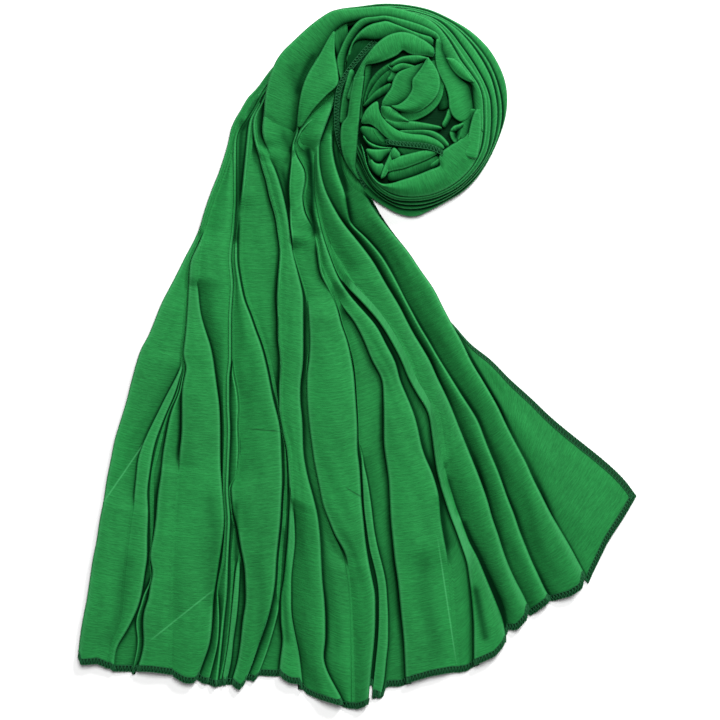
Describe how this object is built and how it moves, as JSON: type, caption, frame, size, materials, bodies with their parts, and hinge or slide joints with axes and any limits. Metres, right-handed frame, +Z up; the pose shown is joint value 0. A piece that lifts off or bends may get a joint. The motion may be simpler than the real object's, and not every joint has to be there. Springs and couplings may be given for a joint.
{
  "type": "hijab headscarf",
  "caption": "Long jersey headscarf laid flat, one end fanned out in long pleats, the middle gathered and the rest wound into a rose-like coil, with overlocked edges.",
  "frame": {"origin": "middle of the laid scarf's box, on the surface that it lies on", "axes": "+X to the right across the fan, +Y from the hem up the scarf to the coil, +Z up off the surface"},
  "size_m": [0.5589, 0.7046, 0.0469],
  "materials": {
    "jersey": "matte slub jersey with a slight sheen",
    "overlock": "matte looped sewing thread"
  },
  "bodies": {
    "root": {"fan_left": "jersey", "fan_middle": "jersey", "fan_middle_right": "jersey", "fan_right": "jersey", "corner_flap": "jersey", "coil_hidden_layers": "jersey", "coil_outer_turn": "jersey", "coil_inner_turn": "jersey", "heart_right": "jersey", "heart_left": "jersey", "neck": "jersey", "neck_hidden_layers": "jersey", "hem_left": "overlock", "hem_middle": "overlock", "hem_middle_right": "overlock", "hem_right": "overlock", "hem_corner": "overlock", "side_edge_corner": "overlock", "coil_edge": "overlock"}
  },
  "joints": []
}
